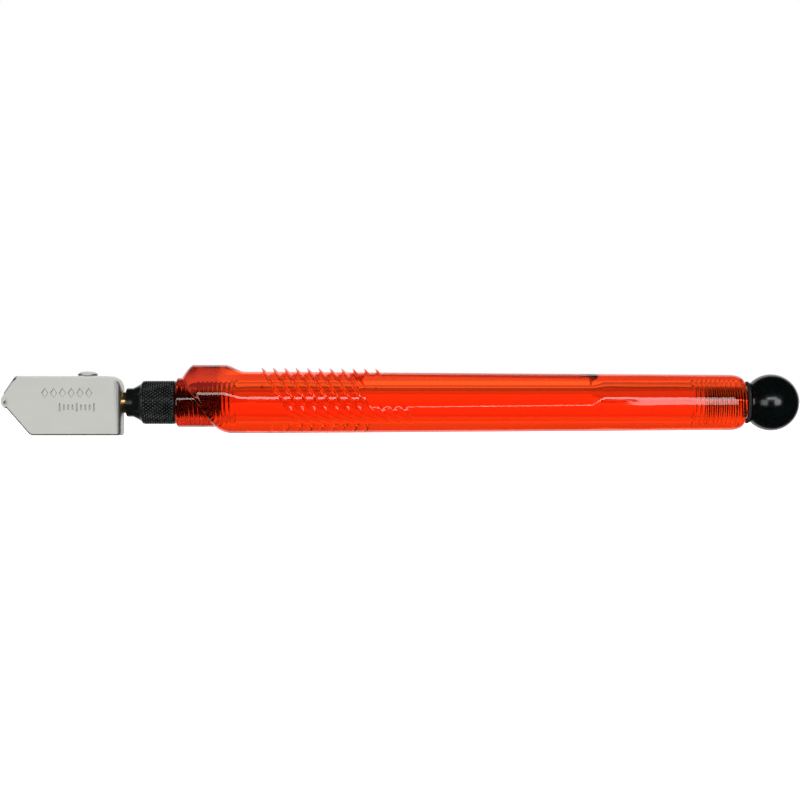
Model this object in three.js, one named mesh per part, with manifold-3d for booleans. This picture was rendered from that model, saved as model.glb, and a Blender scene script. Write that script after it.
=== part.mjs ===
// Pencil glass cutter with an oil reservoir in its handle.
// Millimetres, +Z up. The tool lies along X: cutting wheel at -X, ball cap at +X, thumb hump up.
// Lengths "along" are counted from the wheel's leading edge, heights "up" from the tool's own axis.

import * as THREE from 'three';
import { mergeVertices } from 'three/addons/utils/BufferGeometryUtils.js';
import Module from 'manifold-3d';

const wasm = await Module();
wasm.setup();

// ---- driving dimensions -------------------------------------------------------------------

const TOOL_LENGTH = 178.2;
const AXIS_HEIGHT = 7.3; // the axis above the face that the head rests on

const SIDES = 32; // facets round a large turned piece
const SMALL_SIDES = 20; // facets round a small one
const RUNNING_GAP = 0.1; // radial clearance between a shaft and its bore
const SEAT_GAP = 0.1; // clearance under a seated shoulder
const END_GAP = 0.3; // clearance behind the shank's end
const PAST = 1; // how far a cutter runs past the face that it cuts
const SMALL_CHAMFER = 0.2;
const END_CHAMFER = 0.3;
const MERGE_DISTANCE = 1e-4;
const SKIN_OVERLAP = 0.05; // joined solids overlap by this much
const SEAL_STRETCH = 0.05;

// head
const HEAD_END = 27.2;
const HEAD_TOP = 5.85;
const HEAD_BOTTOM = -AXIS_HEIGHT;
const HEAD_THICKNESS = 7.0;
const HEAD_EDGE = 0.5; // rounding all round both broad faces
const HEAD_REAR_EDGE = 1.3; // rounding of the upright rear edges
const SOCKET_START = 14.0;
const OIL_WAY_RADIUS = 0.9;
const OIL_WAY_OVERLAP = 0.5;
const PLAN_HEIGHT = 20;
const SQUARE_CORNER = 0.1;
const HEAD_OUTLINE = [ // corners of the side view: along, up, rounding radius
  [0.32, 0.75, 1.2],
  [0.45, -1.15, 0.95],
  [1.75, -1.15, 0.3],
  [7.1, HEAD_BOTTOM, 1.6],
  [HEAD_END, HEAD_BOTTOM, 0.7],
  [HEAD_END, HEAD_TOP, 2.8],
  [3.75, HEAD_TOP, 0.8],
];

// wheel and its axle
const WHEEL_CENTRE = 1.3;
const WHEEL_RADIUS = 1.3;
const WHEEL_RIM_RADIUS = 0.95;
const WHEEL_THICKNESS = 1.0;
const WHEEL_BORE_RADIUS = 0.42;
const AXLE_RADIUS = 0.35;
const AXLE_LENGTH = 3.2;
const SLOT_WIDTH = 1.2;
const SLOT_DEPTH = 3.0;
const SLOT_HALF_HEIGHT = 2.2;
const NIB_THICKNESS = 4.0;
const NIB_STEP_RADIUS = 1.05;
const NIB_CUT_AHEAD = 2;
const NIB_CUT_HEIGHT = 6;

// lock screw
const SCREW_ALONG = 19.4;
const SCREW_HEAD_RADIUS = 2.22;
const SCREW_HEAD_HEIGHT = 1.1;
const SCREW_RIM_HEIGHT = 0.3;
const SCREW_BODY_RADIUS = 1.15;
const SCREW_TIP_UP = 2.05;
const SCREW_SLOT_WIDTH = 0.55;
const SCREW_SLOT_DEPTH = 0.55;
const SCREW_SLOT_LENGTH = 6;
const SCREW_TIP_CHAMFER = 0.4;

// shank, its seals and the wick
const SHANK_RADIUS = 2.4;
const SHANK_START = 14.3;
const SHANK_END = 44.0;
const SHANK_OIL_WAY = 0.95;
const SCREW_GROOVE_RADIUS = 1.9;
const SCREW_GROOVE_HALF = 1.4;
const FRONT_SEAL_ALONG = 24.0;
const REAR_SEAL_ALONG = 35.0;
const SEAL_GROOVE_RADIUS = 1.55;
const SEAL_GROOVE_HALF = 0.6;
const SEAL_WIRE_RADIUS = 0.35;
const WICK_RADIUS = 0.75;
const WICK_START = 13.2;
const WICK_END = 49.4;

// front sleeve
const SLEEVE_START = 28.1;
const SLEEVE_NOSE_RADIUS = 3.2;
const SLEEVE_NOSE_END = 29.6;
const SLEEVE_CONE_END = 31.4;
const SLEEVE_CONE_RADIUS = 4.2;
const KNURL_RADIUS = 4.85;
const KNURL_START = 31.9;
const KNURL_END = 39.2;
const TAIL_END = 49.8;
const THREAD_RADIUS = 3.45;
const THREAD_CHAMFER = 0.5;
const TAIL_BORE_RADIUS = 1.6;
const RELIEF_RADIUS = 2.65;
const RELIEF_LENGTH = 1.5;
const SLEEVE_SEAL_WIRE = 0.4;
const SLEEVE_SEAL_SHIFT = 0.2; // towards the handle's mouth

// handle
const HANDLE_START = 39.4;
const HANDLE_END = 166.0;
const COLLAR_RADIUS = 5.5;
const COLLAR_EDGE = 0.35;
const BARREL_RADIUS = 6.9;
const TAPER_START = 61.6;
const TAPER_END_RADIUS = 6.2;
const END_FILLET_START = 162.6;
const END_FACE_RADIUS = 4.45;
const LEAN = 0.69; // how far shoulder, ribs and flats move towards the cap per millimetre down
const SHOULDER_ALONG = 44.25; // where the leaning shoulder crosses the axis
const SHOULDER_LENGTH = 2.7;
const SHOULDER_START_RADIUS = 5.4;
const BORE_RADIUS = 3.2;
const FEMALE_THREAD_RADIUS = 3.6;
const FRONT_THREAD_END = 52.4;
const REAR_THREAD_START = 156.2;
const BORE_STEP = 0.4;

// hump on top of the handle
const HUMP_TOP = 8.4;
const HUMP_ROUND = 4.2; // radius of its rounded crest
const HUMP_FOOT_ALONG = 40.8;
const HUMP_FOOT_UP = 5.0;
const HUMP_FRONT = 42.4;
const HUMP_BACK = 50.0;
const HUMP_END = 54.2;
const HUMP_BAR_EXTRA = 8; // the egg-shaped bar is this much longer than the hump cut from it
const HUMP_DEPTH = -2; // the side outline reaches this far below the axis
const HUMP_FOOT_STEP = [1.2, 0.8]; // small steps that soften the side outline, as [along, up]
const HUMP_BROW_STEP = [0.4, 0.75];
const HUMP_BROW_LENGTH = 0.9;
const HUMP_CREST_OVER = 0.02;
const HUMP_TAIL_START = 1;
const HUMP_TAIL_PULL = [2.4, 0.1];
const HUMP_TAIL_SINK = 0.3;

// ribs
const RIB_COUNT = 11;
const RIB_FIRST = 63.64; // where the first rib crosses the axis
const RIB_PITCH = 2.52;
const RIB_THICKNESS = 0.5;
const RIB_RISE = 0.42;
const RIB_CREST = 0.6; // height of its pointed crest
const RIB_SHIFT = 0.48; // ribs are centred this far above the axis, so they fade out underneath

// finger flats
const FLAT_DISTANCE = 5.56; // from the axis
const FLAT_START = 82.3; // where its leaning start crosses the axis
const FLAT_END = 131.5;
const FLAT_RAMP = 2.2; // millimetres along for each one out, at the end of a flat
const FLAT_RAMP_RISE = 3;
const FLAT_CUT_AHEAD = 8;
const FLAT_CUT_HEIGHT = 4;
const FLAT_CUT_WIDTH = 24;
const FLAT_SPACE = [80, 40, 40]; // a block behind the leaning start
const FLAT_TURN = THREE.MathUtils.degToRad(64); // turned down from the top to each side

// ball cap
const SPIGOT_START = 156.8;
const CAP_RELIEF_START = 165.2;
const CAP_FLANGE_START = 167.05;
const CAP_FLANGE_RADIUS = 4.45;
const CAP_FLANGE_CHAMFER = 0.15;
const BALL_CENTRE = 171.9;
const BALL_RADIUS = 6.3;
const CAP_SEAL_ALONG = 166.55;
const CAP_SEAL_WIRE = 0.42;
const CAP_SEAL_OUTER = 4.7;

// ---- helpers ------------------------------------------------------------------------------

function signedVolume(positions, triangles) {
  let total = 0;
  for (let i = 0; i < triangles.length; i += 3) {
    const corners = [0, 1, 2].map((k) => new THREE.Vector3().fromArray(positions, 3 * triangles[i + k]));
    total += corners[0].dot(corners[1].cross(corners[2]));
  }
  return total;
}

// A closed three.js geometry as a solid, its shared corners joined and its faces pointing out.
function solidOf(geometry) {
  const bare = geometry.clone();
  bare.deleteAttribute('normal');
  bare.deleteAttribute('uv');
  const merged = mergeVertices(bare, MERGE_DISTANCE);
  const positions = Float32Array.from(merged.attributes.position.array);
  const triangles = [];
  for (let i = 0; i < merged.index.count; i += 3) {
    const [a, b, c] = [0, 1, 2].map((k) => merged.index.getX(i + k));
    if (a !== b && b !== c && c !== a) {
      triangles.push(a, b, c);
    }
  }
  if (signedVolume(positions, triangles) < 0) {
    for (let i = 0; i < triangles.length; i += 3) {
      [triangles[i], triangles[i + 1]] = [triangles[i + 1], triangles[i]];
    }
  }
  const triVerts = Uint32Array.from(triangles);
  return new wasm.Manifold(new wasm.Mesh({ numProp: 3, vertProperties: positions, triVerts }));
}

function geometryOf(solid) {
  const mesh = solid.getMesh();
  const geometry = new THREE.BufferGeometry();
  geometry.setAttribute('position', new THREE.BufferAttribute(Float32Array.from(mesh.vertProperties), 3));
  geometry.setIndex(new THREE.BufferAttribute(Uint32Array.from(mesh.triVerts), 1));
  geometry.computeVertexNormals();
  return geometry;
}

function joined(first, ...others) {
  return others.reduce((whole, next) => whole.add(next), first);
}

function cut(solid, ...cutters) {
  return cutters.reduce((whole, next) => whole.subtract(next), solid);
}

function turnedGeometry(profile, sides) {
  const points = profile.map(([along, radius]) => new THREE.Vector2(radius, along));
  return new THREE.LatheGeometry(points, sides);
}

// Turned round the tool's axis from points [along, radius].
function turned(profile, sides = SIDES) {
  return solidOf(turnedGeometry(profile, sides).rotateZ(-Math.PI / 2));
}

// The same with every upright section leaned back by LEAN.
function turnedAndLeaned(profile, up = 0, sides = SIDES) {
  const lean = new THREE.Matrix4().makeShear(0, 0, 0, 0, -LEAN, 0);
  const geometry = turnedGeometry(profile, sides).rotateZ(-Math.PI / 2);
  return solidOf(geometry.translate(0, 0, up).applyMatrix4(lean));
}

function rod(start, end, radius, sides = SIDES) {
  return turned([[start, 0], [start, radius], [end, radius], [end, 0]], sides);
}

function ring(along, middleRadius, wireRadius) {
  const steps = 8;
  const profile = [];
  for (let i = 0; i <= steps; i++) {
    const angle = (2 * Math.PI * (i % steps)) / steps;
    profile.push([along + wireRadius * Math.cos(angle), middleRadius + wireRadius * Math.sin(angle)]);
  }
  return turned(profile, SMALL_SIDES);
}

function arc(centreAlong, centreRadius, radiusAlong, radiusOut, fromDegrees, toDegrees, steps) {
  const points = [];
  for (let i = 0; i <= steps; i++) {
    const angle = THREE.MathUtils.degToRad(fromDegrees + ((toDegrees - fromDegrees) * i) / steps);
    points.push([centreAlong + radiusAlong * Math.cos(angle), centreRadius + radiusOut * Math.sin(angle)]);
  }
  return points;
}

function block(start, end, width, bottom, top) {
  const geometry = new THREE.BoxGeometry(end - start, width, top - bottom);
  return solidOf(geometry.translate((start + end) / 2, 0, (top + bottom) / 2));
}

// A closed outline through corners [x, y, radius], each rounded by its radius.
function roundedShape(corners) {
  const shape = new THREE.Shape();
  corners.forEach(([x, y, radius], i) => {
    const corner = new THREE.Vector2(x, y);
    const before = new THREE.Vector2(...corners.at(i - 1));
    const after = new THREE.Vector2(...corners[(i + 1) % corners.length]);
    const back = before.sub(corner).normalize();
    const ahead = after.sub(corner).normalize();
    const reach = radius / Math.tan(Math.acos(back.dot(ahead)) / 2);
    const start = corner.clone().addScaledVector(back, reach);
    const end = corner.clone().addScaledVector(ahead, reach);
    if (i === 0) {
      shape.moveTo(start.x, start.y);
    } else {
      shape.lineTo(start.x, start.y);
    }
    shape.quadraticCurveTo(corner.x, corner.y, end.x, end.y);
  });
  shape.closePath();
  return shape;
}

// A side-view outline (along, up) made as thick as asked across the tool.
function sidePlate(shape, thickness, edge = 0, curveSegments = 4) {
  const geometry = new THREE.ExtrudeGeometry(shape, {
    depth: thickness - 2 * edge,
    bevelEnabled: edge > 0,
    bevelThickness: edge,
    bevelSize: edge,
    bevelOffset: -edge,
    bevelSegments: 3,
    curveSegments,
  });
  return solidOf(geometry.translate(0, 0, edge - thickness / 2).rotateX(Math.PI / 2));
}

function upright(x, bottom, top, radius, sides = SMALL_SIDES) {
  const geometry = new THREE.CylinderGeometry(radius, radius, top - bottom, sides);
  return solidOf(geometry.rotateX(Math.PI / 2).translate(x, 0, (top + bottom) / 2));
}

function crosswise(x, from, to, radius) {
  const geometry = new THREE.CylinderGeometry(radius, radius, to - from, SMALL_SIDES);
  return solidOf(geometry.translate(x, (from + to) / 2, 0));
}

// ---- head ---------------------------------------------------------------------------------

function nibStep(side) {
  const inner = (side * NIB_THICKNESS) / 2;
  const outer = side * HEAD_THICKNESS;
  const [from, to] = [Math.min(inner, outer), Math.max(inner, outer)];
  const front = new THREE.BoxGeometry(WHEEL_CENTRE + NIB_CUT_AHEAD, to - from, NIB_CUT_HEIGHT);
  front.translate((WHEEL_CENTRE - NIB_CUT_AHEAD) / 2, (from + to) / 2, 0);
  return joined(crosswise(WHEEL_CENTRE, from, to, NIB_STEP_RADIUS), solidOf(front));
}

function headBlock() {
  const half = HEAD_THICKNESS / 2;
  const plan = roundedShape([
    [-PAST, -half, SQUARE_CORNER],
    [HEAD_END, -half, HEAD_REAR_EDGE],
    [HEAD_END, half, HEAD_REAR_EDGE],
    [-PAST, half, SQUARE_CORNER],
  ]);
  const planOptions = { depth: PLAN_HEIGHT, bevelEnabled: false, curveSegments: 6 };
  const planGeometry = new THREE.ExtrudeGeometry(plan, planOptions);
  const side = sidePlate(roundedShape(HEAD_OUTLINE), HEAD_THICKNESS, HEAD_EDGE);
  const body = side.intersect(solidOf(planGeometry.translate(0, 0, -PLAN_HEIGHT / 2)));
  return cut(
    body,
    rod(SOCKET_START, HEAD_END + PAST, SHANK_RADIUS + RUNNING_GAP),
    rod(SLOT_DEPTH - OIL_WAY_OVERLAP, SOCKET_START + OIL_WAY_OVERLAP, OIL_WAY_RADIUS, 12),
    block(-PAST, SLOT_DEPTH, SLOT_WIDTH, -SLOT_HALF_HEIGHT, SLOT_HALF_HEIGHT),
    crosswise(WHEEL_CENTRE, -half - PAST, half + PAST, WHEEL_BORE_RADIUS),
    upright(SCREW_ALONG, 0, HEAD_TOP + PAST, SCREW_BODY_RADIUS + RUNNING_GAP),
    nibStep(-1),
    nibStep(1),
  );
}

function cuttingWheel() {
  const half = WHEEL_THICKNESS / 2;
  const profile = [
    [-half, WHEEL_BORE_RADIUS],
    [-half, WHEEL_RIM_RADIUS],
    [0, WHEEL_RADIUS],
    [half, WHEEL_RIM_RADIUS],
    [half, WHEEL_BORE_RADIUS],
    [-half, WHEEL_BORE_RADIUS],
  ];
  return solidOf(turnedGeometry(profile, SIDES).translate(WHEEL_CENTRE, 0, 0));
}

function wheelAxle() {
  return crosswise(WHEEL_CENTRE, -AXLE_LENGTH / 2, AXLE_LENGTH / 2, AXLE_RADIUS);
}

function lockScrew() {
  const seat = HEAD_TOP + SEAT_GAP;
  const top = HEAD_TOP + SCREW_HEAD_HEIGHT;
  const rim = seat + SCREW_RIM_HEIGHT;
  const dome = arc(rim, 0, top - rim, SCREW_HEAD_RADIUS, 90, 0, 6);
  const profile = [
    [SCREW_TIP_UP, 0],
    [SCREW_TIP_UP, SCREW_BODY_RADIUS - SCREW_TIP_CHAMFER],
    [SCREW_TIP_UP + SCREW_TIP_CHAMFER, SCREW_BODY_RADIUS],
    [seat, SCREW_BODY_RADIUS],
    [seat, SCREW_HEAD_RADIUS],
    ...dome.slice(0, -1),
    [top, 0],
  ];
  const geometry = turnedGeometry(profile, SMALL_SIDES).rotateX(Math.PI / 2).translate(SCREW_ALONG, 0, 0);
  const slot = new THREE.BoxGeometry(SCREW_SLOT_LENGTH, SCREW_SLOT_WIDTH, SCREW_SLOT_DEPTH + PAST);
  slot.translate(SCREW_ALONG, 0, top + (PAST - SCREW_SLOT_DEPTH) / 2);
  return cut(solidOf(geometry), solidOf(slot));
}

// ---- shank, seals and wick ----------------------------------------------------------------

function groove(centre, half, radius) {
  return [
    [centre - half, SHANK_RADIUS],
    [centre - half, radius],
    [centre + half, radius],
    [centre + half, SHANK_RADIUS],
  ];
}

function brassShank() {
  return turned([
    [SHANK_START, SHANK_OIL_WAY],
    [SHANK_START, SHANK_RADIUS - END_CHAMFER],
    [SHANK_START + END_CHAMFER, SHANK_RADIUS],
    ...groove(SCREW_ALONG, SCREW_GROOVE_HALF, SCREW_GROOVE_RADIUS),
    ...groove(FRONT_SEAL_ALONG, SEAL_GROOVE_HALF, SEAL_GROOVE_RADIUS),
    ...groove(REAR_SEAL_ALONG, SEAL_GROOVE_HALF, SEAL_GROOVE_RADIUS),
    [SHANK_END, SHANK_RADIUS],
    [SHANK_END, SHANK_OIL_WAY],
    [SHANK_START, SHANK_OIL_WAY],
  ]);
}

function shankSeal(along) {
  return ring(along, SHANK_RADIUS - SEAL_WIRE_RADIUS, SEAL_WIRE_RADIUS);
}

function feltWick() {
  return turned([
    [WICK_START, 0],
    [WICK_START, WICK_RADIUS - SMALL_CHAMFER],
    [WICK_START + SMALL_CHAMFER, WICK_RADIUS],
    [WICK_END - END_CHAMFER, WICK_RADIUS],
    [WICK_END, WICK_RADIUS - END_CHAMFER],
    [WICK_END, 0],
  ], 16);
}

// ---- front sleeve -------------------------------------------------------------------------

function frontSleeve() {
  const boreRadius = SHANK_RADIUS + RUNNING_GAP;
  return turned([
    [SLEEVE_START, boreRadius],
    [SLEEVE_START, SLEEVE_NOSE_RADIUS - SMALL_CHAMFER],
    [SLEEVE_START + SMALL_CHAMFER, SLEEVE_NOSE_RADIUS],
    [SLEEVE_NOSE_END, SLEEVE_NOSE_RADIUS],
    [SLEEVE_CONE_END, SLEEVE_CONE_RADIUS],
    [KNURL_START, KNURL_RADIUS],
    [KNURL_END, KNURL_RADIUS],
    [KNURL_END, RELIEF_RADIUS],
    [KNURL_END + RELIEF_LENGTH, RELIEF_RADIUS],
    [KNURL_END + RELIEF_LENGTH, THREAD_RADIUS],
    [TAIL_END - THREAD_CHAMFER, THREAD_RADIUS],
    [TAIL_END, THREAD_RADIUS - THREAD_CHAMFER],
    [TAIL_END, TAIL_BORE_RADIUS],
    [SHANK_END + END_GAP, TAIL_BORE_RADIUS],
    [SHANK_END + END_GAP, boreRadius],
    [SLEEVE_START, boreRadius],
  ]);
}

function sleeveSeal() {
  const along = KNURL_END + RELIEF_LENGTH / 2 + SLEEVE_SEAL_SHIFT;
  return ring(along, RELIEF_RADIUS + SLEEVE_SEAL_WIRE + SEAL_STRETCH, SLEEVE_SEAL_WIRE);
}

// ---- handle -------------------------------------------------------------------------------

function barrelRadius(along) {
  const share = Math.max(0, (along - TAPER_START) / (END_FILLET_START - TAPER_START));
  return BARREL_RADIUS - share * (BARREL_RADIUS - TAPER_END_RADIUS);
}

function barrel() {
  const fillet = arc(
    END_FILLET_START,
    END_FACE_RADIUS,
    HANDLE_END - END_FILLET_START,
    TAPER_END_RADIUS - END_FACE_RADIUS,
    90,
    0,
    5,
  );
  return turned([
    [HANDLE_START, 0],
    [HANDLE_START, BARREL_RADIUS],
    [TAPER_START, BARREL_RADIUS],
    ...fillet,
    [HANDLE_END, 0],
  ]);
}

// All that lies behind the leaning shoulder, whose edge is rounded from the collar to the barrel.
function behindShoulder() {
  const wide = 2 * BARREL_RADIUS;
  const rounding = arc(
    SHOULDER_ALONG + SHOULDER_LENGTH,
    SHOULDER_START_RADIUS,
    SHOULDER_LENGTH,
    BARREL_RADIUS + SKIN_OVERLAP - SHOULDER_START_RADIUS,
    180,
    90,
    6,
  );
  return turnedAndLeaned([
    [SHOULDER_ALONG, 0],
    ...rounding,
    [SHOULDER_ALONG + SHOULDER_LENGTH, wide],
    [HANDLE_END + wide, wide],
    [HANDLE_END + wide, 0],
  ]);
}

function collar() {
  return turned([
    [HANDLE_START, 0],
    [HANDLE_START, COLLAR_RADIUS - COLLAR_EDGE],
    [HANDLE_START + COLLAR_EDGE, COLLAR_RADIUS],
    [FRONT_THREAD_END, COLLAR_RADIUS],
    [FRONT_THREAD_END, 0],
  ]);
}

// The hump's cross-section is an egg: the barrel's circle and a smaller one above it, joined by tangents.
function hump() {
  const smallUp = HUMP_TOP - HUMP_ROUND;
  const tangent = Math.asin((BARREL_RADIUS - HUMP_ROUND) / smallUp);
  const egg = new THREE.Shape();
  egg.absarc(0, smallUp, HUMP_ROUND, tangent, Math.PI - tangent, false);
  egg.absarc(0, 0, BARREL_RADIUS - SKIN_OVERLAP, Math.PI - tangent, 2 * Math.PI + tangent, false);
  egg.closePath();
  const length = HUMP_END - HUMP_FOOT_ALONG + HUMP_BAR_EXTRA;
  const bar = new THREE.ExtrudeGeometry(egg, { depth: length, bevelEnabled: false, curveSegments: 12 });
  bar.rotateX(Math.PI / 2).rotateZ(Math.PI / 2).translate(HUMP_FOOT_ALONG - PAST, 0, 0);
  const crest = HUMP_TOP + HUMP_CREST_OVER;
  const side = new THREE.Shape();
  side.moveTo(HUMP_FOOT_ALONG + LEAN * (HUMP_FOOT_UP - HUMP_DEPTH) + SHOULDER_LENGTH, HUMP_DEPTH);
  side.lineTo(HUMP_FOOT_ALONG + HUMP_FOOT_STEP[0], HUMP_FOOT_UP - HUMP_FOOT_STEP[1]);
  side.lineTo(HUMP_FOOT_ALONG, HUMP_FOOT_UP);
  side.lineTo(HUMP_FRONT - HUMP_BROW_STEP[0], HUMP_TOP - HUMP_BROW_STEP[1]);
  side.quadraticCurveTo(HUMP_FRONT, HUMP_TOP, HUMP_FRONT + HUMP_BROW_LENGTH, crest);
  side.lineTo(HUMP_BACK - HUMP_TAIL_START, crest);
  side.bezierCurveTo(
    HUMP_BACK + HUMP_TAIL_START,
    HUMP_TOP,
    HUMP_END - HUMP_TAIL_PULL[0],
    BARREL_RADIUS - HUMP_TAIL_PULL[1],
    HUMP_END,
    BARREL_RADIUS - HUMP_TAIL_SINK,
  );
  side.lineTo(HUMP_END, HUMP_DEPTH);
  side.closePath();
  return solidOf(bar).intersect(sidePlate(side, PLAN_HEIGHT, 0, 6));
}

function rib(index) {
  const middle = RIB_FIRST + index * RIB_PITCH;
  const half = RIB_THICKNESS / 2;
  const radius = barrelRadius(middle) + RIB_RISE;
  const profile = [
    [middle - half, 0],
    [middle - half, radius - RIB_CREST],
    [middle, radius],
    [middle + half, radius - RIB_CREST],
    [middle + half, 0],
  ];
  return turnedAndLeaned(profile, RIB_SHIFT, 24);
}

function flatCutter(turn) {
  const side = new THREE.Shape();
  const high = FLAT_DISTANCE + FLAT_CUT_HEIGHT;
  side.moveTo(FLAT_START - FLAT_CUT_AHEAD, FLAT_DISTANCE);
  side.lineTo(FLAT_END, FLAT_DISTANCE);
  side.lineTo(FLAT_END + FLAT_RAMP * FLAT_RAMP_RISE, FLAT_DISTANCE + FLAT_RAMP_RISE);
  side.lineTo(FLAT_END + FLAT_RAMP * FLAT_RAMP_RISE, high);
  side.lineTo(FLAT_START - FLAT_CUT_AHEAD, high);
  side.closePath();
  const geometry = new THREE.ExtrudeGeometry(side, { depth: FLAT_CUT_WIDTH, bevelEnabled: false });
  geometry.translate(0, 0, -FLAT_CUT_WIDTH / 2).rotateX(Math.PI / 2).rotateX(turn);
  const lean = new THREE.Matrix4().makeShear(0, 0, 0, 0, -LEAN, 0);
  const behind = new THREE.BoxGeometry(...FLAT_SPACE);
  behind.translate(FLAT_START + FLAT_SPACE[0] / 2, 0, 0).applyMatrix4(lean);
  return solidOf(geometry).intersect(solidOf(behind));
}

function handleBore() {
  return turned([
    [HANDLE_START - PAST, 0],
    [HANDLE_START - PAST, FEMALE_THREAD_RADIUS],
    [FRONT_THREAD_END - BORE_STEP, FEMALE_THREAD_RADIUS],
    [FRONT_THREAD_END, BORE_RADIUS],
    [REAR_THREAD_START, BORE_RADIUS],
    [REAR_THREAD_START + BORE_STEP, FEMALE_THREAD_RADIUS],
    [HANDLE_END + PAST, FEMALE_THREAD_RADIUS],
    [HANDLE_END + PAST, 0],
  ]);
}

function handleBarrel() {
  const ribs = Array.from({ length: RIB_COUNT }, (_, index) => rib(index));
  const outside = joined(barrel().intersect(behindShoulder()), collar(), hump(), ...ribs);
  return cut(outside, flatCutter(FLAT_TURN), flatCutter(-FLAT_TURN), handleBore());
}

// ---- ball cap -----------------------------------------------------------------------------

function ballCap() {
  const neckDegrees = 180 - THREE.MathUtils.radToDeg(Math.asin(CAP_FLANGE_RADIUS / BALL_RADIUS));
  const ball = arc(BALL_CENTRE, 0, BALL_RADIUS, BALL_RADIUS, neckDegrees, 0, 12);
  return turned([
    [SPIGOT_START, 0],
    [SPIGOT_START, THREAD_RADIUS - THREAD_CHAMFER],
    [SPIGOT_START + THREAD_CHAMFER, THREAD_RADIUS],
    [CAP_RELIEF_START, THREAD_RADIUS],
    [CAP_RELIEF_START, RELIEF_RADIUS],
    [CAP_FLANGE_START, RELIEF_RADIUS],
    [CAP_FLANGE_START, CAP_FLANGE_RADIUS - CAP_FLANGE_CHAMFER],
    [CAP_FLANGE_START + CAP_FLANGE_CHAMFER, CAP_FLANGE_RADIUS],
    ...ball.slice(0, -1),
    [BALL_CENTRE + BALL_RADIUS, 0],
  ]);
}

function capSeal() {
  return ring(CAP_SEAL_ALONG, CAP_SEAL_OUTER - CAP_SEAL_WIRE, CAP_SEAL_WIRE);
}

// ---- assembly -----------------------------------------------------------------------------

const NICKEL = [0xc4c3bd, 0.35, 0.9];
const CARBIDE = [0x6b6d70, 0.3, 0.9];
const STEEL = [0xa9a9a2, 0.35, 0.9];
const BRASS = [0xc9994a, 0.25, 1.0];
const RUBBER = [0x141414, 0.7, 0.0];
const FELT = [0xe6dfcc, 0.95, 0.0];
const BLACK_METAL = [0x121315, 0.45, 0.4];
const CLEAR_RED = [0xf0320f, 0.15, 0.0];
const BLACK_GLOSS = [0x0b0c0d, 0.12, 0.0];

const PIECES = [
  ['head_block', headBlock(), NICKEL],
  ['cutting_wheel', cuttingWheel(), CARBIDE],
  ['wheel_axle', wheelAxle(), STEEL],
  ['head_lock_screw', lockScrew(), STEEL],
  ['brass_shank', brassShank(), BRASS],
  ['shank_o_ring_front', shankSeal(FRONT_SEAL_ALONG), RUBBER],
  ['shank_o_ring_rear', shankSeal(REAR_SEAL_ALONG), RUBBER],
  ['felt_wick', feltWick(), FELT],
  ['front_sleeve', frontSleeve(), BLACK_METAL],
  ['sleeve_o_ring', sleeveSeal(), RUBBER],
  ['handle_barrel', handleBarrel(), CLEAR_RED],
  ['cap_o_ring', capSeal(), RUBBER],
  ['ball_cap', ballCap(), BLACK_GLOSS],
];

const group = new THREE.Group();
const tool = new THREE.Group();
tool.position.set(-TOOL_LENGTH / 2, 0, AXIS_HEIGHT);
group.add(tool);
for (const [name, solid, [color, roughness, metalness]] of PIECES) {
  const material = new THREE.MeshStandardMaterial({ color, roughness, metalness });
  const mesh = new THREE.Mesh(geometryOf(solid), material);
  mesh.name = name;
  tool.add(mesh);
}

export default group;
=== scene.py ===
# %% [markdown]
# # A pencil glass cutter, modelled as by hand
# The tool lies on its side: cutting wheel at -X, ball cap at +X, thumb hump up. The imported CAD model
# is the fixed frame. Every new piece goes exactly where that frame has its plain twin, and adds what
# the twin lacks: true round surfaces, threads, knurling, worn edges and the finish of each material.

# %% Load the frame
import math

import bmesh
import bpy
import numpy as np
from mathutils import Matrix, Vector


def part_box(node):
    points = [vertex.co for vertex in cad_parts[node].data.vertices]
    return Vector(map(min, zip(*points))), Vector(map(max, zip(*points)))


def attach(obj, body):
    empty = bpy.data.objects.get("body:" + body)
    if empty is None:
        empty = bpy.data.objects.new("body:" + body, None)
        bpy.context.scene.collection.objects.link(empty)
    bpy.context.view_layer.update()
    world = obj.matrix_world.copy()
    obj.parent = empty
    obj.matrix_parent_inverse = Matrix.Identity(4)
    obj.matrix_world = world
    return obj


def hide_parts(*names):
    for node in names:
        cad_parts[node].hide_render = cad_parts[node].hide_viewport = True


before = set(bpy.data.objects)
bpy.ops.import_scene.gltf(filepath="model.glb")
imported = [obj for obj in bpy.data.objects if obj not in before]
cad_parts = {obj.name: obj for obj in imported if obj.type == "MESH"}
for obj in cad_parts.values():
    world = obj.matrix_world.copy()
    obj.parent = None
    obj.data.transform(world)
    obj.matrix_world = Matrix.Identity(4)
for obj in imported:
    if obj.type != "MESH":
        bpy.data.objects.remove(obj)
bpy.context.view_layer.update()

MM = 0.001

# %% [markdown]
# ## Where things are
# Lengths along the tool are counted in millimetres from the wheel's leading edge, and radii from the
# tool's own axis. Both starting points are read from the frame, so that nothing is placed by eye.

# %% Measure the frame
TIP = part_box("cutting_wheel")[0].x
AXIS_Z = (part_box("ball_cap")[0].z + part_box("ball_cap")[1].z) / 2


def along(x):
    """Millimetres from the wheel's leading edge to a place x in the frame."""
    return (x - TIP) / MM


def node_span(node):
    low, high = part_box(node)
    return along(low.x), along(high.x)


HANDLE_START, HANDLE_END = node_span("handle_barrel")
SLEEVE_START, SLEEVE_END = node_span("front_sleeve")
CAP_START, CAP_END = node_span("ball_cap")
HEAD_END = node_span("head_block")[1]
SHANK_START, SHANK_END = node_span("brass_shank")
HEAD_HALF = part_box("head_block")[1].y / MM
HEAD_TOP = (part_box("head_block")[1].z - AXIS_Z) / MM
HEAD_BOTTOM = (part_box("head_block")[0].z - AXIS_Z) / MM
print(f"handle {HANDLE_START:.1f} to {HANDLE_END:.1f} mm, axis {AXIS_Z / MM:.2f} mm up")

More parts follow.
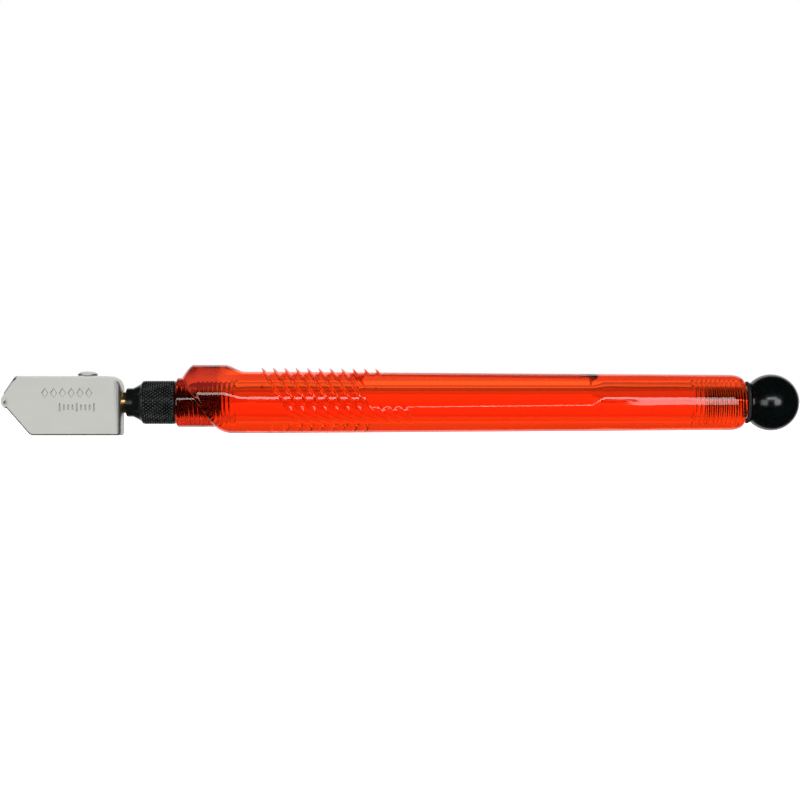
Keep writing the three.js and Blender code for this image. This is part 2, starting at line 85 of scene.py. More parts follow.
# %% [markdown]
# ## Hand moves that every piece uses
# Blender's operators act on whatever is selected, so each helper first clears the selection and then
# picks vertices, edges or faces by their place. These few moves are enough for the whole tool:
# draw a profile, spin it, cut with another piece, round the sharp edges, and smooth.

# %% Selecting and switching modes
def only(piece):
    """Deselect everything, then select this piece and make it the active one."""
    if bpy.context.object and bpy.context.object.mode != "OBJECT":
        bpy.ops.object.mode_set(mode="OBJECT")
    bpy.ops.object.select_all(action="DESELECT")
    piece.select_set(True)
    bpy.context.view_layer.objects.active = piece


def edit(piece, select="VERT"):
    only(piece)
    bpy.ops.object.mode_set(mode="EDIT")
    bpy.ops.mesh.select_mode(type=select)
    bpy.ops.mesh.select_all(action="DESELECT")


def pick(piece, kind, test):
    """In edit mode, select the vertices, edges or faces whose middle passes the test."""
    work = bmesh.from_edit_mesh(piece.data)
    count = 0
    for part in getattr(work, kind):
        if kind == "verts":
            middle = part.co
        elif kind == "edges":
            middle = (part.verts[0].co + part.verts[1].co) / 2
        else:
            middle = part.calc_center_median()
        if test(part, middle):
            part.select_set(True)
            count += 1
    work.select_flush_mode()
    bmesh.update_edit_mesh(piece.data)
    return count


def leave(piece):
    """Merge doubles, turn the faces outwards and go back to object mode."""
    bpy.ops.mesh.select_all(action="SELECT")
    bpy.ops.mesh.remove_doubles(threshold=MM / 2000)
    bpy.ops.mesh.normals_make_consistent(inside=False)
    bpy.ops.object.mode_set(mode="OBJECT")
    return piece


def settle(piece):
    """Put the object at the origin, unturned and unscaled, with its place in its mesh."""
    only(piece)
    bpy.ops.object.transform_apply(location=True, rotation=True, scale=True)
    return piece


def smooth(piece, degrees=32):
    only(piece)
    bpy.ops.object.shade_smooth_by_angle(angle=math.radians(degrees))
    return piece


def keep_flats_flat(piece):
    """Let big faces decide the shading, so that only the rounded edges look round."""
    only(piece)
    step = piece.modifiers.new("weighted", "WEIGHTED_NORMAL")
    step.mode = "FACE_AREA"
    step.weight = 100
    step.keep_sharp = True
    bpy.ops.object.modifier_apply(modifier=step.name)
    return piece


# %% Drawing and spinning a profile
def chain(name, points):
    """One vertex extruded from point to point: points are (x, y, z) in millimetres."""
    bpy.ops.object.select_all(action="DESELECT")
    bpy.ops.mesh.primitive_plane_add(size=MM, location=(0, 0, 0))
    piece = bpy.context.object
    piece.name = name
    bpy.ops.object.mode_set(mode="EDIT")
    bpy.ops.mesh.select_mode(type="VERT")
    bpy.ops.mesh.select_all(action="SELECT")
    bpy.ops.mesh.merge(type="CENTER")
    places = [Vector(p) * MM for p in points]
    bpy.ops.transform.translate(value=places[0])
    for before, after in zip(places, places[1:]):
        bpy.ops.mesh.extrude_vertices_move(TRANSFORM_OT_translate={"value": after - before})
    return piece


def tool_point(length, radius, across=0.0):
    """A point of the tool in millimetres of the frame: length along it, radius above its axis."""
    return TIP / MM + length, across, AXIS_Z / MM + radius


def spun(name, profile, steps=96):
    """A profile of (length, radius) spun once round the tool's axis into a closed skin."""
    piece = chain(name, [tool_point(*p) for p in profile])
    bpy.ops.mesh.select_all(action="SELECT")
    bpy.ops.mesh.spin(steps=steps, angle=2 * math.pi, center=(0, 0, AXIS_Z), axis=(1, 0, 0))
    return leave(piece)


def arc(centre, radii, start, end, count):
    """Points (length, radius) on an ellipse's arc, from one angle in degrees to another."""
    turns = [math.radians(start + (end - start) * i / count) for i in range(count + 1)]
    return [(centre[0] + radii[0] * math.cos(a), centre[1] + radii[1] * math.sin(a)) for a in turns]


def reshape(piece, rule):
    """Move every vertex by a rule on arrays of length, radius and angle round the axis."""
    mesh = piece.data
    co = np.empty(len(mesh.vertices) * 3)
    mesh.vertices.foreach_get("co", co)
    co = co.reshape(-1, 3)
    length = (co[:, 0] - TIP) / MM
    radius = np.hypot(co[:, 1], co[:, 2] - AXIS_Z) / MM
    turn = np.arctan2(co[:, 2] - AXIS_Z, co[:, 1])
    length, radius, turn = rule(length, radius, turn)
    co[:, 0] = TIP + length * MM
    co[:, 1] = radius * np.cos(turn) * MM
    co[:, 2] = AXIS_Z + radius * np.sin(turn) * MM
    mesh.vertices.foreach_set("co", co.ravel())
    mesh.update()
    return piece


# %% Cutting, joining and rounding
def combine(piece, other, operation="DIFFERENCE"):
    """Cut, join or intersect with another piece, which is used up."""
    only(piece)
    step = piece.modifiers.new(operation.lower(), "BOOLEAN")
    step.operation = operation
    step.solver = "EXACT"
    step.object = other
    bpy.ops.object.modifier_apply(modifier=step.name)
    bpy.data.objects.remove(other)
    return piece


def round_edges(piece, width, segments=3, degrees=35, clamp=True):
    only(piece)
    step = piece.modifiers.new("rounding", "BEVEL")
    step.width = width * MM
    step.segments = segments
    step.limit_method = "ANGLE"
    step.angle_limit = math.radians(degrees)
    step.use_clamp_overlap = clamp
    step.harden_normals = False
    bpy.ops.object.modifier_apply(modifier=step.name)
    return piece


def box_between(name, low, high):
    """A box from one corner to the other, in millimetres of the frame."""
    low, high = Vector(low) * MM, Vector(high) * MM
    bpy.ops.object.select_all(action="DESELECT")
    bpy.ops.mesh.primitive_cube_add(size=1, location=(low + high) / 2, scale=high - low)
    piece = bpy.context.object
    piece.name = name
    return settle(piece)


def cylinder_at(name, centre, radius, depth, turn=(0, 0, 0), sides=48):
    """A cylinder standing at a point in millimetres of the frame, turned as asked."""
    bpy.ops.object.select_all(action="DESELECT")
    bpy.ops.mesh.primitive_cylinder_add(
        vertices=sides,
        radius=radius * MM,
        depth=depth * MM,
        location=Vector(centre) * MM,
        rotation=turn,
    )
    piece = bpy.context.object
    piece.name = name
    return settle(piece)


ACROSS = (math.pi / 2, 0, 0)
ALONG = (0, math.pi / 2, 0)

# %% [markdown]
# ## Camera
# The tool is seen square from the side by a level camera at about forty centimetres, so that the far
# end of each round edge still curves a little. A longer lens would flatten those curves away.

# %% Camera
LENS = 85.0
SENSOR = 36.0
VIEW_WIDTH = 0.1787
CAMERA_RISE = 0.00056

camera_data = bpy.data.cameras.new("camera")
camera_data.lens = LENS
camera_data.sensor_width = SENSOR
camera_data.clip_start = 0.01
camera = bpy.data.objects.new("camera", camera_data)
camera.location = (0, -VIEW_WIDTH * LENS / SENSOR, AXIS_Z + CAMERA_RISE)
camera.rotation_euler = (math.pi / 2, 0, 0)
bpy.context.scene.collection.objects.link(camera)
bpy.context.scene.camera = camera
print(f"camera {-camera.location.y:.3f} m away")

# %% [markdown]
# ## Node materials
# Each finish is a small node tree. A builder keeps the trees readable: one call adds a node, sets its
# values and joins its inputs. Patterns read Object coordinates, which every piece here shares, since
# all of them sit unturned at the origin.

# %% A small node builder
class Finish:
    """A material whose nodes are added one call at a time."""

    def __init__(self, name):
        self.material = bpy.data.materials.new(name)
        self.material.use_nodes = True
        self.tree = self.material.node_tree
        self.shader = self.tree.nodes["Principled BSDF"]
        self.place = self.tree.nodes.new("ShaderNodeTexCoord").outputs["Object"]

    def join(self, source, target):
        self.tree.links.new(source, target)

    def node(self, kind, inputs=None, **settings):
        made = self.tree.nodes.new("ShaderNode" + kind)
        for key, value in settings.items():
            setattr(made, key, value)
        for key, value in (inputs or {}).items():
            if isinstance(value, bpy.types.NodeSocket):
                self.join(value, made.inputs[key])
            else:
                made.inputs[key].default_value = value
        return made

    def stretched(self, scale):
        return self.node("Mapping", {"Vector": self.place, "Scale": scale}).outputs["Vector"]

    def noise(self, scale, detail=4.0, where=None, roughness=0.55):
        inputs = {"Vector": where or self.place, "Scale": scale}
        inputs |= {"Detail": detail, "Roughness": roughness}
        return self.node("TexNoise", inputs).outputs["Fac"]

    def between(self, value, low, high, from_low=0.3, from_high=0.7):
        inputs = {"Value": value, "From Min": from_low, "From Max": from_high}
        inputs |= {"To Min": low, "To Max": high}
        return self.node("MapRange", inputs).outputs["Result"]

    def mixed(self, factor, first, second):
        """The first colour at factor 0, the second at 1. A colour mix has its sockets at 0, 6 and 7."""
        made = self.node("Mix", data_type="RGBA", blend_type="MIX")
        sockets = made.inputs[0], made.inputs[6], made.inputs[7]
        for socket, value in zip(sockets, (factor, first, second)):
            if isinstance(value, bpy.types.NodeSocket):
                self.join(value, socket)
            else:
                socket.default_value = value
        return made.outputs[2]

    def math(self, operation, first, second=0.0):
        made = self.node("Math", operation=operation)
        for socket, value in zip(made.inputs, (first, second)):
            if isinstance(value, bpy.types.NodeSocket):
                self.join(value, socket)
            else:
                socket.default_value = value
        return made.outputs[0]

    def bump(self, height, strength, distance):
        inputs = {"Height": height, "Strength": strength, "Distance": distance}
        self.join(self.node("Bump", inputs).outputs["Normal"], self.shader.inputs["Normal"])

    def done(self):
        print(f"{self.material.name}: {len(self.tree.nodes)} nodes")
        return self.material

    def set(self, **values):
        for key, value in values.items():
            socket = self.shader.inputs[key.replace("_", " ")]
            if isinstance(value, bpy.types.NodeSocket):
                self.join(value, socket)
            else:
                socket.default_value = value
        return self


def rgb(red, green, blue):
    return red, green, blue, 1.0


def axis_distance(finish):
    """Distance of the surface from the tool's axis, in metres."""
    apart = finish.node("SeparateXYZ", {"Vector": finish.place})
    level = finish.math("SUBTRACT", apart.outputs["Z"], AXIS_Z)
    across_squared = finish.math("POWER", apart.outputs["Y"], 2.0)
    squares = finish.math("ADD", across_squared, finish.math("POWER", level, 2.0))
    return finish.math("POWER", squares, 0.5)


# %% [markdown]
# ### Nickel plate
# The head is pressed or cast, tumbled and then plated, so it is satin rather than bright: fine grain,
# slightly uneven gloss, and faint scuffs along the way it is pushed over the glass.

# %% Nickel plate
DULL_NICKEL = rgb(0.63, 0.63, 0.6)
LIGHT_NICKEL = rgb(0.7, 0.7, 0.66)


def make_nickel():
    finish = Finish("nickel_plate")
    grain = finish.noise(9000.0, 3.0)
    cloud = finish.noise(140.0, 3.0)
    scuffs = finish.noise(420.0, 5.0, finish.stretched((0.35, 1.0, 1.0)))
    satin = finish.between(cloud, 0.38, 0.5)
    finish.set(
        Base_Color=finish.mixed(finish.between(cloud, 0.0, 1.0), DULL_NICKEL, LIGHT_NICKEL),
        Metallic=1.0,
        Roughness=finish.math("ADD", satin, finish.between(scuffs, 0.0, 0.06)),
    )
    finish.bump(grain, 0.12, 0.00002)
    return finish.done()


nickel = make_nickel()

# %% [markdown]
# ### Clear red plastic
# The handle is clear acrylic tinted red-orange, and the real tint deepens with the length of plastic
# that light crosses. Here the tint sits on the surfaces, which keeps the render quick: most of it on
# the outside, a little on the bore's wall. The outside is painted lighter towards the top, as painted
# light, and painted shade darkens four places: the hump, a band along the upper edge, the collar,
# and the crease where the slanted shoulder starts.

# %% Clear red plastic
LEAN = 0.69
SHOULDER = 44.25
CREASE = SHOULDER + 0.35
# Of these reds, the second is painted light, and the last two are painted shade.
LOWER_RED = rgb(0.94, 0.038, 0.004)
UPPER_LIT_RED = rgb(0.97, 0.085, 0.013)
STREAK_RED = rgb(0.9, 0.06, 0.01)
BORE_RED = rgb(0.86, 0.42, 0.36)
SHADED_RED = rgb(0.24, 0.014, 0.012)
CREASE_SHADE_RED = rgb(0.03, 0.008, 0.008)


def make_clear_red():
    finish = Finish("clear_red_plastic")
    apart = finish.node("SeparateXYZ", {"Vector": finish.place})
    length, height = apart.outputs["X"], apart.outputs["Z"]

    def ramp(value, start, end, first=0.0, last=1.0, zero=AXIS_Z):
        """From first to last between two places, in millimetres from the zero that is given."""
        return finish.between(value, first, last, zero + start * MM, zero + end * MM)

    flow = finish.noise(60.0, 2.0, finish.stretched((0.3, 1.0, 1.0)))
    # Painted light: the outer tint turns lighter and more orange towards the top.
    lit_shell = finish.mixed(ramp(height, 1.0, 3.0), LOWER_RED, UPPER_LIT_RED)
    streaky = finish.mixed(finish.between(flow, 0.0, 0.35), lit_shell, STREAK_RED)
    inside = ramp(axis_distance(finish), 4.1, 4.5, 1.0, 0.0, zero=0.0)
    tint = finish.mixed(inside, streaky, BORE_RED)

    # Painted shade: the hump, a band along the upper edge and the collar are darkened in the colour.
    hump = finish.math("MULTIPLY", ramp(height, 2.8, 3.6), ramp(length, 48.5, 53.0, 1.0, 0.0, zero=TIP))
    edge = finish.math("MULTIPLY", ramp(height, 4.5, 4.9, 0.0, 0.8), ramp(height, 6.0, 6.4, 1.0, 0.0))
    leaning = finish.math("MULTIPLY", finish.math("SUBTRACT", height, AXIS_Z), LEAN)
    station = finish.math("ADD", length, leaning)
    collar = ramp(station, SHOULDER - 0.3, SHOULDER + 0.3, 0.5, 0.0, zero=TIP)
    painted_shade = finish.math("MAXIMUM", finish.math("MAXIMUM", hump, edge), collar)

    # Painted shade: a near-black band along the crease where the slanted shoulder starts.
    from_crease = finish.math("ABSOLUTE", finish.math("SUBTRACT", station, TIP + CREASE * MM))
    in_crease = ramp(from_crease, 0.15, 0.5, 0.9, 0.0, zero=0.0)
    crease = finish.math("MULTIPLY", in_crease, ramp(height, 1.5, 3.0, 1.0, 0.0))
    fine = finish.noise(700.0, 3.0)
    finish.set(
        Base_Color=finish.mixed(crease, finish.mixed(painted_shade, tint, SHADED_RED), CREASE_SHADE_RED),
        Roughness=finish.between(fine, 0.015, 0.05),
        IOR=1.49,
        Transmission_Weight=1.0,
    )
    streaks = finish.noise(450.0, 2.0, finish.stretched((0.02, 1.0, 1.0)))
    finish.bump(finish.math("ADD", flow, streaks), 0.07, 0.0002)
    return finish.done()


clear_red = make_clear_red()

# %% [markdown]
# ### Black finishes
# The sleeve is blackened metal: dark, half-glossy, with the crests of the knurl a little brighter,
# partly rubbed by fingers and partly painted glints. The ball cap is moulded gloss plastic: nearly
# black, with the faint ripple that a moulded ball shows in its reflections, and a few dull handling
# marks.

# %% Blackened metal
BLACKENED = rgb(0.003, 0.004, 0.004)
RUBBED_AND_GLINT = rgb(0.065, 0.07, 0.072)


def make_black_metal():
    """Rubbed wear and painted glints towards the knurl's crests, which stand 4.85 mm from the axis."""
    finish = Finish("black_metal")
    crest = finish.between(axis_distance(finish), 0.0, 1.0, 4.72 * MM, 4.86 * MM)
    blotch = finish.noise(900.0, 4.0)
    # Painted glints: the crests are lighter in the colour, partly as real rubbing.
    rub_and_glint = finish.math("MULTIPLY", crest, finish.between(blotch, 0.15, 1.0))
    finish.set(
        Base_Color=finish.mixed(rub_and_glint, BLACKENED, RUBBED_AND_GLINT),
        Specular_IOR_Level=0.27,
        Roughness=finish.between(blotch, 0.2, 0.3),
    )
    finish.bump(finish.noise(6000.0, 2.0), 0.08, 0.00002)
    return finish.done()


black_metal = make_black_metal()

# %% Gloss black plastic
DEEP_BLACK = rgb(0.0004, 0.001, 0.001)
HANDLED_BLACK = rgb(0.0015, 0.0025, 0.0025)


def make_black_plastic():
    finish = Finish("black_plastic")
    ripple = finish.noise(160.0, 2.0)
    marks = finish.noise(1300.0, 5.0, finish.stretched((1.0, 2.5, 1.0)))
    finish.set(
        Base_Color=finish.mixed(finish.between(marks, 0.0, 1.0), DEEP_BLACK, HANDLED_BLACK),
        Roughness=finish.between(marks, 0.14, 0.24),
        IOR=1.5,
    )
    finish.bump(ripple, 0.06, 0.0002)
    return finish.done()


black_plastic = make_black_plastic()

# %% [markdown]
# ### Small metals, rubber and felt
# The shank is turned brass with fine rings round it. The screw and axle are dull plated steel, the
# wheel is ground carbide, the seals are matt rubber, and the wick is twisted cotton.

# %% Turned brass
# Both brass tones are painted darker, as painted shade for the sliver between head and sleeve; the
# stain mixing them is real.
SHADED_DULL_BRASS = rgb(0.5, 0.31, 0.1)
SHADED_BRIGHT_BRASS = rgb(0.66, 0.44, 0.17)


def make_brass():
    finish = Finish("brass")
    rings = finish.noise(3.0, 2.0, finish.stretched((4000.0, 20.0, 20.0)))
    stain = finish.noise(400.0, 3.0)
    finish.set(
        Base_Color=finish.mixed(finish.between(stain, 0.0, 1.0), SHADED_DULL_BRASS, SHADED_BRIGHT_BRASS),
        Metallic=1.0,
        Roughness=finish.between(rings, 0.16, 0.32),
    )
    finish.bump(rings, 0.1, 0.00002)
    return finish.done()


brass = make_brass()

# %% Steel and carbide
def make_metal(name, dark, light, rough_low, rough_high):
    finish = Finish(name)
    grain = finish.noise(2500.0, 4.0)
    finish.set(
        Base_Color=finish.mixed(finish.between(grain, 0.0, 1.0), dark, light),
        Metallic=1.0,
        Roughness=finish.between(grain, rough_low, rough_high),
    )
    finish.bump(grain, 0.12, 0.00002)
    return finish.done()


steel = make_metal("steel", rgb(0.52, 0.51, 0.47), rgb(0.62, 0.61, 0.57), 0.3, 0.45)
carbide = make_metal("carbide", rgb(0.2, 0.2, 0.21), rgb(0.3, 0.3, 0.31), 0.22, 0.4)


# %% Rubber and felt
def make_soft(name, dark, light, scale, strength):
    finish = Finish(name)
    fibre = finish.noise(scale, 5.0)
    finish.set(
        Base_Color=finish.mixed(finish.between(fibre, 0.0, 1.0), dark, light),
        Roughness=finish.between(fibre, 0.55, 0.8),
    )
    finish.bump(fibre, strength, 0.00005)
    return finish.done()


rubber = make_soft("seal_rubber", rgb(0.008, 0.008, 0.008), rgb(0.02, 0.02, 0.02), 1500.0, 0.1)
felt = make_soft("felt", rgb(0.62, 0.56, 0.44), rgb(0.83, 0.78, 0.66), 2200.0, 0.6)


def finish_piece(piece, material, body, slot, *nodes):
    """Paint a piece, let it ride on its body, and hide the CAD nodes it stands for. The slot is not
    used.
    """
    piece.data.materials.clear()
    piece.data.materials.append(material)
    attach(piece, body)
    if nodes:
        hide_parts(*nodes)
    print(f"{piece.name}: {len(piece.data.polygons)} faces")
    return piece


# %% [markdown]
# ## Screw threads
# Sleeve and cap screw into the handle's two ends with a thread of one millimetre pitch. All four
# threads are one helical wave in length and angle, so male and female always stay in step, at rest
# and as they unscrew. The wave only moves radii: a finely ringed tube becomes a thread.

# %% The thread wave
PITCH = 1.0
THREAD_DEPTH = 0.32
MALE_RADIUS = 3.45
FEMALE_RADIUS = 3.65
FEMALE_DEPTH_FRONT = 0.25
FEMALE_DEPTH_REAR = 0.4
THREAD_RING = 0.1


def thread_wave(length, turn):
    """0 in the middle of the thread's groove to 1 in the middle of its crest."""
    phase = np.mod(length / PITCH - turn / (2 * math.pi), 1.0)
    return np.abs(2 * phase - 1)


def male_dip(length, turn):
    """1 in the groove of a cut thread, 0 on its flat crest."""
    return 1 - np.clip((thread_wave(length, turn) - 0.3) / 0.35, 0, 1)


def female_dip(length, turn):
    """1 where the handle's round ridge stands in the other thread's groove."""
    return 0.5 + 0.5 * np.cos(math.pi * thread_wave(length, turn))


def fade(value, start, end):
    """0 before start, 1 after end, straight between."""
    return np.clip((value - start) / (end - start), 0, 1)


def stations(start, end, step):
    """Evenly spaced lengths from start to end, at most a step apart."""
    count = max(1, math.ceil((end - start) / step - 1e-9))
    return [start + (end - start) * i / count for i in range(count + 1)]


print(f"thread: pitch {PITCH} mm, crest radius {MALE_RADIUS} mm in a root of {FEMALE_RADIUS} mm")

# %% [markdown]
# ## The handle
# One moulding: a round collar, an oblique shoulder, a thumb hump, eleven slanted ribs, two finger
# flats, a slight taper and a rounded end. It could be cut from solids, but every cut would leave
# uneven facets, and clear plastic shows each one. So a closed profile, bore included, is spun into a
# finely ringed skin, and the skin is then pushed to shape by a rule: rings lean where shoulder, ribs
# and flats lean, and columns of vertices follow the flats' edges, so that all edges stay crisp.

# %% The handle's sizes
COLLAR_RADIUS = 5.5
BARREL_RADIUS = 6.9
TAPER_START = 61.6
TAPER_END_RADIUS = 6.2
END_FILLET = 3.4
END_FACE_RADIUS = 4.45
SHOULDER_UNDER = 2.7
SHOULDER_OVER = 4.45
SHOULDER_SIDE = 1.5
HUMP_TOP = 8.4
HUMP_BACK = 50.0
HUMP_END = 54.6
RIB_COUNT = 11
RIB_FIRST = 63.64
RIB_PITCH = 2.52
RIB_SHIFT = 0.45
RIB_FADE = 0.08
FLAT_DISTANCE = 5.56
FLAT_START = 82.3
FLAT_END = 131.5
FLAT_RAMP_SLOPE = 0.4545
FLAT_ANGLE = math.radians(26)
FLAT_EDGE = 0.6
BORE_RADIUS = 3.2
MOUTH_EDGE = 0.4
FRONT_THREAD_FADE = 51.6
FRONT_THREAD_END = 52.4
REAR_THREAD_START = 154.0
REAR_THREAD_FADE = 164.8
REAR_THREAD_END = 165.6
FRONT_ROUNDING = 0.35


def barrel_radius(length):
    """The moulding's round radius: straight, then tapered, then rounded into the end face."""
    fillet_start = HANDLE_END - END_FILLET
    taper = BARREL_RADIUS - (BARREL_RADIUS - TAPER_END_RADIUS) * fade(length, TAPER_START, fillet_start)
    share = fade(length, fillet_start, HANDLE_END)
    drop = (TAPER_END_RADIUS - END_FACE_RADIUS) * (1 - np.sqrt(1 - share**2))
    return taper - drop


def hump_radius(up_angle, top):
    """Distance from the axis to an upright ellipse that is as wide and as low as the barrel."""
    tall = (top + BARREL_RADIUS) / 2
    centre = top - tall
    sine, cosine = np.sin(up_angle), np.cos(up_angle)
    square = (cosine / BARREL_RADIUS) ** 2 + (sine / tall) ** 2
    half = centre * sine / tall**2
    return (half + np.sqrt(half**2 - square * ((centre / tall) ** 2 - 1))) / square


def hump_top(length):
    share = fade(length, HUMP_BACK, HUMP_END)
    eased = share * share * (3 - 2 * share)
    return HUMP_TOP - (HUMP_TOP - BARREL_RADIUS) * eased


print(f"barrel {2 * BARREL_RADIUS:.1f} mm thick, tapering to {2 * TAPER_END_RADIUS:.1f} mm")

# %% Flats, ribs and lean
def flat_distance(length):
    return FLAT_DISTANCE + FLAT_RAMP_SLOPE * np.maximum(length - FLAT_END, 0)


def flat_edges(length):
    """Half the angle that a flat takes up, as seen from the axis."""
    place = np.maximum(length, FLAT_START)
    share = np.clip(flat_distance(place) / barrel_radius(place), 0, 1)
    opening = fade(length, FLAT_END + 3, FLAT_END + 12)
    return np.maximum(np.arccos(share), math.radians(3) + opening * math.radians(31))


def rib_height(base, up_angle):
    """Ribs are centred a little above the axis, so that they fade out underneath."""
    outer = np.sqrt((base + RIB_SHIFT) ** 2 - (RIB_SHIFT * np.cos(up_angle)) ** 2)
    return np.maximum(outer + RIB_SHIFT * np.sin(up_angle) - base - RIB_FADE, 0)


LEAN_KEPT = 92.0
LEAN_GONE = 117.0


def lean_at(station):
    rise = fade(station, HANDLE_START + FRONT_ROUNDING, SHOULDER)
    settle_back = fade(station, LEAN_KEPT, LEAN_GONE)
    return LEAN * rise * (1 - settle_back * settle_back * (3 - 2 * settle_back))


COLUMNS = 128
EDGE_ABOVE = 11
EDGE_BELOW = 35


def column_angle(up_angle, length):
    """Slide columns of vertices round the barrel so that two of them follow each flat's edges."""
    step = 2 * math.pi / COLUMNS
    half = flat_edges(length)
    even = (math.pi / 2, math.pi / 2 - EDGE_ABOVE * step, math.pi / 2 - EDGE_BELOW * step, -math.pi / 2)
    wanted = (math.pi / 2, FLAT_ANGLE + half, FLAT_ANGLE - half, -math.pi / 2)
    result = np.array(up_angle)
    for high, low, new_high, new_low in zip(even, even[1:], wanted, wanted[1:]):
        inside = (up_angle <= high + 1e-9) & (up_angle >= low - 1e-9)
        share = (high - up_angle) / (high - low)
        result = np.where(inside, new_high + share * (new_low - new_high), result)
    return result


print(f"each flat takes up {math.degrees(2 * flat_edges(FLAT_START)):.0f} degrees where it starts")

# %% The handle's profile
SKIN = 9.0
RIB_FOOT = 0.45
RIB_CREST = 0.12


def rib_stations():
    places = []
    for index in range(RIB_COUNT):
        middle = RIB_FIRST + index * RIB_PITCH
        places += [middle - RIB_FOOT, middle - RIB_CREST, middle + RIB_CREST, middle + RIB_FOOT]
        places += [middle + RIB_PITCH / 2]
    return places


def outer_stations():
    """Rings of the outer skin, from the collar's front edge to the end face."""
    turns = [math.radians(22.5 * i) for i in range(1, 5)]
    places = [HANDLE_START + FRONT_ROUNDING * (1 - math.cos(turn)) for turn in turns]
    places += stations(HANDLE_START + 0.6, SHOULDER - 0.03, 0.5)
    places += stations(SHOULDER, SHOULDER + SHOULDER_OVER + 0.3, 0.22)
    places += stations(SHOULDER + SHOULDER_OVER + 0.7, RIB_FIRST - 1.2, 0.45)
    places += rib_stations()
    places += [FLAT_START - 0.04, FLAT_START + 0.04]
    places += stations(RIB_FIRST + RIB_COUNT * RIB_PITCH, FLAT_END - 1, 2.5)
    places += stations(FLAT_END - 0.4, FLAT_END + 2.6, 0.2)
    places += stations(FLAT_END + 4, HANDLE_END - END_FILLET - 1, 2.5)
    places += [HANDLE_END - END_FILLET * math.sin(math.radians(9 * i)) for i in range(10, -1, -1)]
    return sorted(set(round(place, 4) for place in places))


def handle_profile():
    front = stations(HANDLE_START + MOUTH_EDGE, FRONT_THREAD_END, THREAD_RING)
    middle = stations(FRONT_THREAD_END + 0.5, REAR_THREAD_START - 0.5, 6.0)
    rear = stations(REAR_THREAD_START, HANDLE_END - MOUTH_EDGE, THREAD_RING)
    bore = [(place, FEMALE_RADIUS) for place in front]
    bore += [(place, BORE_RADIUS) for place in middle]
    bore += [(place, FEMALE_RADIUS) for place in rear]
    outside = [(place, SKIN) for place in outer_stations()]
    mouth = (HANDLE_START, FEMALE_RADIUS + FRONT_ROUNDING)
    end = [(HANDLE_END, FEMALE_RADIUS + 0.3)]
    face = [mouth, (HANDLE_START, COLLAR_RADIUS - FRONT_ROUNDING)]
    return face + outside + end + bore[::-1] + [mouth]


print("points in the handle's profile:", len(handle_profile()))

# %% Spin the handle and push it to shape
def handle_rule(station, radius, turn):
    """Six passes, since the lean depends on the radius and the radius on the leaning place."""
    skin = radius > SKIN - 0.5
    up_angle = np.arcsin(np.clip(np.sin(turn), -1, 1))
    side = np.where(np.cos(turn) >= 0, 1.0, -1.0)
    lean = lean_at(station)
    new_radius = np.full_like(radius, BARREL_RADIUS)
    length = station.copy()
    for _ in range(6):
        length = station - lean * new_radius * np.sin(up_angle)
        angle = column_angle(up_angle, length)
        base = barrel_radius(length)
        hump = hump_radius(angle, hump_top(length))
        body = np.where(length < HUMP_END, np.maximum(base, hump), base)
        over = np.clip(np.sin(angle), 0, 1) ** 1.5
        reach = SHOULDER_UNDER + (SHOULDER_OVER - SHOULDER_UNDER) * over
        reach = reach - SHOULDER_SIDE * np.cos(angle) ** 4
        share = np.clip((station - SHOULDER) / reach, 0, 1)
        round_rise = np.sqrt(1 - (1 - share) ** 2)
        straight_rise = 1 - (1 - share) ** 1.2
        rise = over * straight_rise + (1 - over) * round_rise
        to_front = 1 - fade(station, HANDLE_START, HANDLE_START + FRONT_ROUNDING)
        front = COLLAR_RADIUS - FRONT_ROUNDING * (1 - np.sqrt(1 - to_front**2))
        shape = np.where(station < SHOULDER, front, COLLAR_RADIUS + (body - COLLAR_RADIUS) * rise)
        offset = np.abs(np.mod(station - RIB_FIRST + RIB_PITCH / 2, RIB_PITCH) - RIB_PITCH / 2)
        in_ribs = (station > RIB_FIRST - 1) & (station < RIB_FIRST + (RIB_COUNT - 0.5) * RIB_PITCH)
        wall = np.clip((RIB_FOOT - offset) / (RIB_FOOT - RIB_CREST), 0, 1)
        shape = shape + np.where(in_ribs, wall * rib_height(base, angle), 0)
        away = angle - FLAT_ANGLE
        plane = flat_distance(length) / np.maximum(np.cos(away), 0.3)
        mixing = np.clip(0.5 + 0.5 * (shape - plane) / FLAT_EDGE, 0, 1)
        eased = shape + mixing * (plane - shape) - FLAT_EDGE * mixing * (1 - mixing)
        shape = np.where(station > FLAT_START, eased, shape)
        new_radius = np.where(skin, shape, radius)
        up_skin = np.where(skin, angle, up_angle)
        length = np.where(skin, station - lean * new_radius * np.sin(up_skin), station)
    mouth = HANDLE_START + MOUTH_EDGE
    front = fade(station, mouth, mouth + 0.8)
    rear = fade(station, REAR_THREAD_START, REAR_THREAD_START + 0.8)
    threaded = front * (1 - fade(station, FRONT_THREAD_FADE, FRONT_THREAD_END))
    threaded += rear * (1 - fade(station, REAR_THREAD_FADE, REAR_THREAD_END))
    bore = (radius < FEMALE_RADIUS + 0.05) & (radius > BORE_RADIUS + 0.05)
    depth = np.where(station < HUMP_END, FEMALE_DEPTH_FRONT, FEMALE_DEPTH_REAR)
    dip = depth * female_dip(station, turn) * threaded
    new_radius = np.where(bore, new_radius - dip, new_radius)
    new_up = np.where(skin, angle, up_angle)
    new_turn = np.arctan2(np.sin(new_up), side * np.cos(new_up))
    return length, new_radius, new_turn


handle = reshape(spun("handle_moulding", handle_profile(), COLUMNS), handle_rule)
smooth(handle, 48)
finish_piece(handle, clear_red, "handle", "clear_red_plastic", "handle_barrel")

# %% [markdown]
# ## The knurled sleeve
# Black metal, with a plain nose, a fine diamond knurl for the fingers, and a threaded tail. A bump map
# would leave the knurl's outline smooth, so the diamonds are real: the grid has six columns and six
# rings for each diamond, and two crossing helical grooves push it in.

# %% Spin and knurl the sleeve
KNURL_RADIUS = 4.85
KNURL_START = 31.9
KNURL_END = 39.2
KNURL_AROUND = 39
KNURL_STEP = 1.03
KNURL_DEPTH = 0.3
KNURL_GRID = 6
TAIL_START = 40.7
TAIL_BORE = 1.6
SHANK_BORE = 2.5


